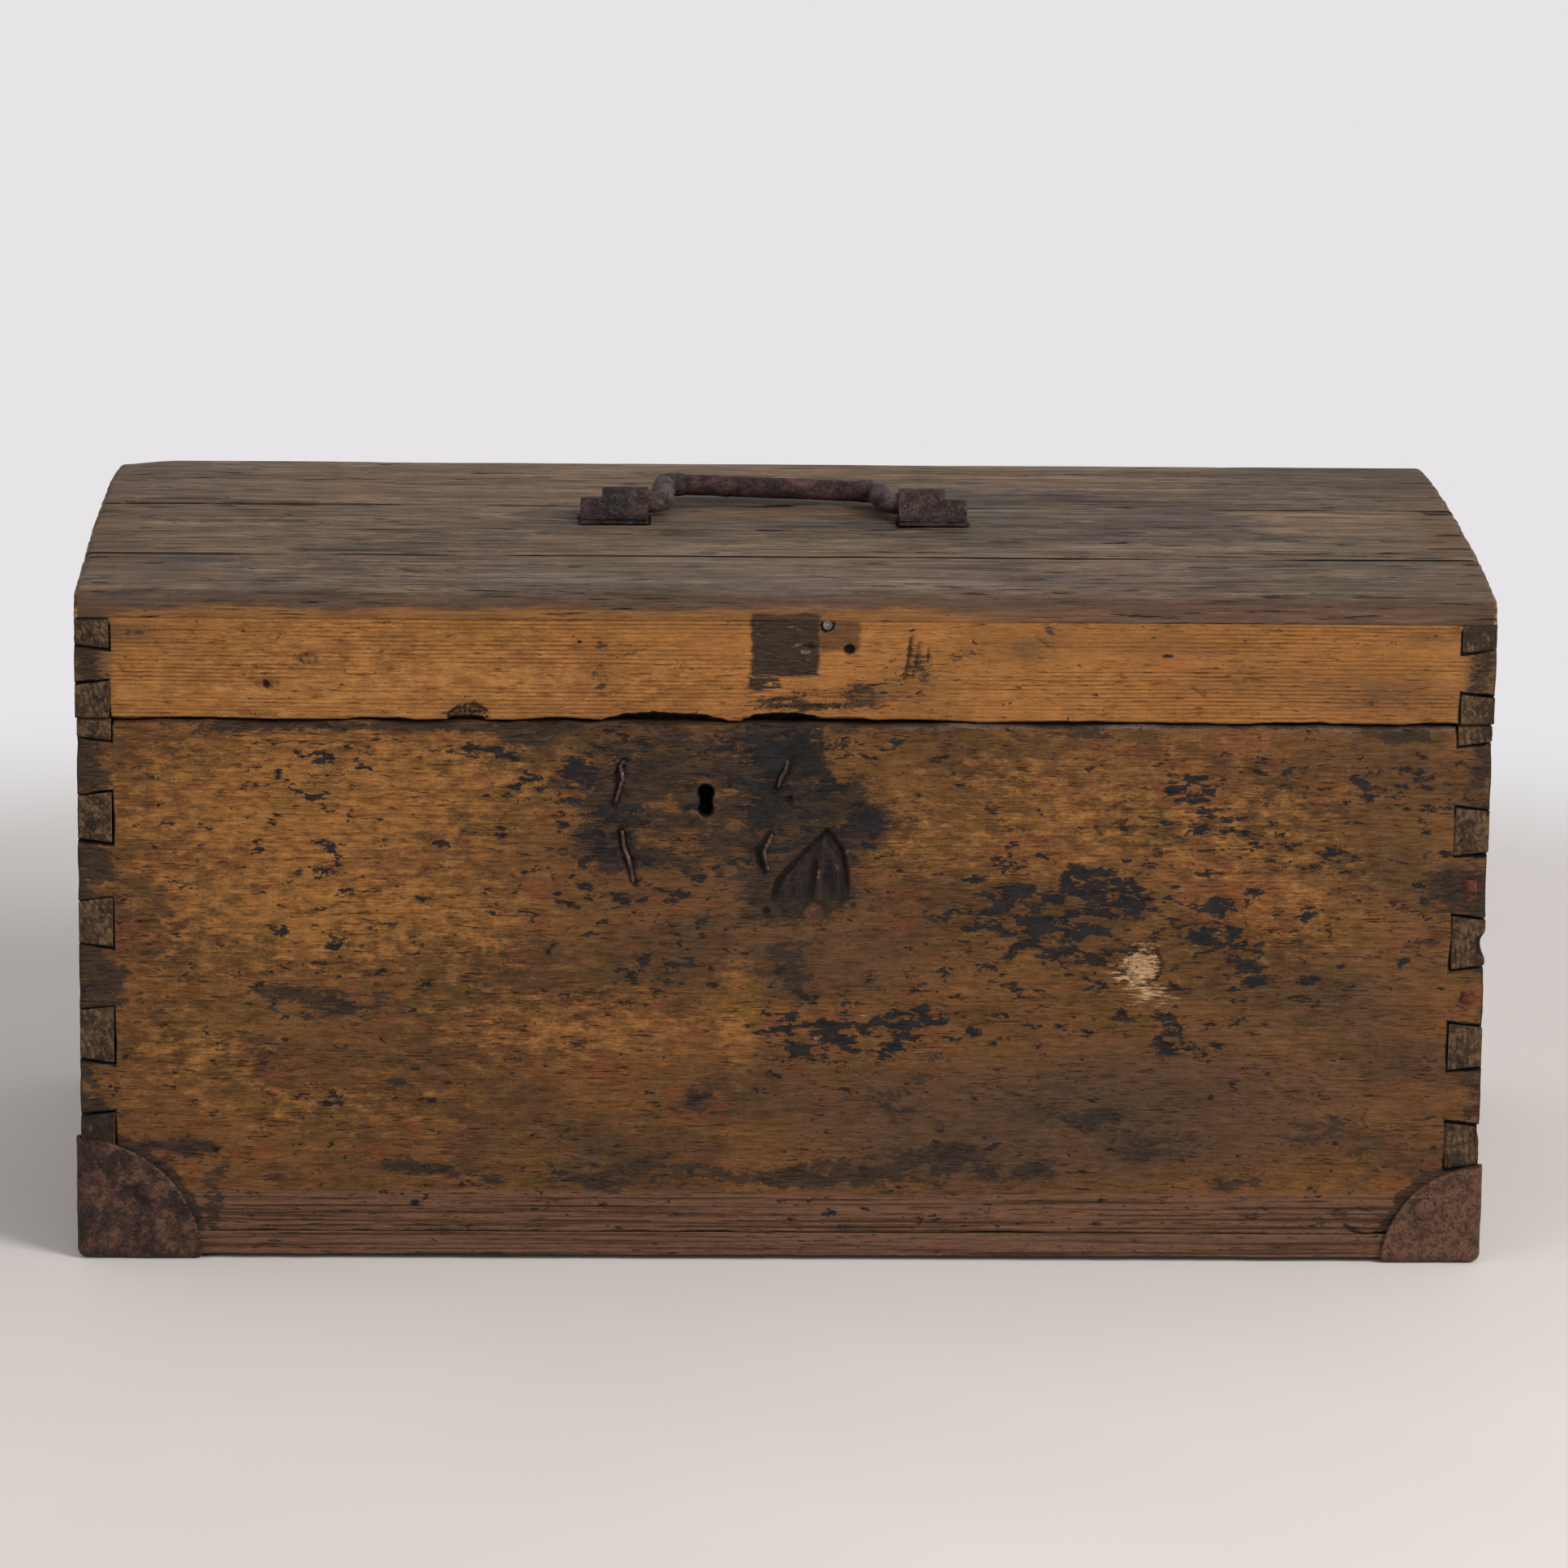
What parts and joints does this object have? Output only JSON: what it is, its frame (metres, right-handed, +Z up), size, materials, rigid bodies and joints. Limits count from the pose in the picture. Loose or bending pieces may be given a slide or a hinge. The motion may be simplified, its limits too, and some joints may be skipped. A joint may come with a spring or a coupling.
{
  "type": "metal-bound chest",
  "caption": "Small dovetailed pine chest with a shallow arched plank lid, iron bail handle, sheet iron corners, strap hinges and an inside lock.",
  "frame": {"origin": "middle of the chest's bounds, on the surface it stands on", "axes": "+X to the right along the front, +Y from the front to the back, +Z up"},
  "size_m": [0.7096, 0.3626, 0.3646],
  "materials": {
    "pine_walls": "aged pine, worn and stained",
    "pine_lid_walls": "aged pine, honey brown",
    "pine_lid_top": "weathered grey-brown pine",
    "pine_bottom": "aged pine, rubbed and dark",
    "iron_corners": "dark red-brown rust",
    "iron_handle": "forged, purple-brown rust",
    "iron_hinges": "dark rust",
    "iron_lock": "dull grey iron, lightly rusted",
    "iron_nails": "dark rust"
  },
  "bodies": {
    "carcass": {"front_board": "pine_walls", "back_board": "pine_walls", "left_side_board": "pine_walls", "right_side_board": "pine_walls", "bottom_board_front": "pine_bottom", "bottom_board_middle": "pine_bottom", "bottom_board_rear": "pine_bottom", "bottom_nails": "iron_nails", "corner_joint_nails": "iron_nails", "corner_cap_front_left": "iron_corners", "corner_cap_front_right": "iron_corners", "corner_cap_rear_left": "iron_corners", "corner_cap_rear_right": "iron_corners", "corner_cap_nails": "iron_nails", "hinge_body_leaf_left": "iron_hinges", "hinge_body_leaf_right": "iron_hinges", "hinge_pin_left": "iron_hinges", "hinge_pin_right": "iron_hinges", "hinge_body_nails": "iron_nails", "lock_plate": "iron_lock", "lock_case": "iron_lock", "lock_case_rivets": "iron_nails", "lock_nails": "iron_nails", "lock_spring": "iron_lock", "lock_bolt_stud": "iron_lock", "lock_bolt_guide": "iron_lock"},
    "lid": {"lid_front_board": "pine_lid_walls", "lid_back_board": "pine_lid_walls", "lid_left_end_board": "pine_lid_walls", "lid_right_end_board": "pine_lid_walls", "lid_plank_front": "pine_lid_top", "lid_plank_middle": "pine_lid_top", "lid_plank_rear": "pine_lid_top", "lid_plank_nails": "iron_nails", "hinge_lid_leaf_left": "iron_hinges", "hinge_lid_leaf_right": "iron_hinges", "hinge_lid_nails": "iron_nails", "handle_strap_left": "iron_handle", "handle_strap_right": "iron_handle", "handle_strap_nails": "iron_nails", "lid_catch": "iron_lock", "lid_catch_nails": "iron_nails", "lid_old_nail": "iron_nails"},
    "handle": {"handle_bail": "iron_handle"},
    "bolt": {"lock_bolt": "iron_lock"}
  },
  "joints": [
    {"name": "lid_hinge", "type": "hinge", "parent": "carcass", "child": "lid", "pos_m": [0, 0.1773, 0.2777], "axis": [-1, 0, 0], "range_deg": [0, 105]},
    {"name": "handle_swing", "type": "hinge", "parent": "lid", "child": "handle", "pos_m": [-0.0036, -0.014, 0.3565], "axis": [1, 0, 0], "range_deg": [0, 175]},
    {"name": "bolt_throw", "type": "slide", "parent": "carcass", "child": "bolt", "axis": [1, 0, 0], "range_m": [0, 0.011]}
  ]
}
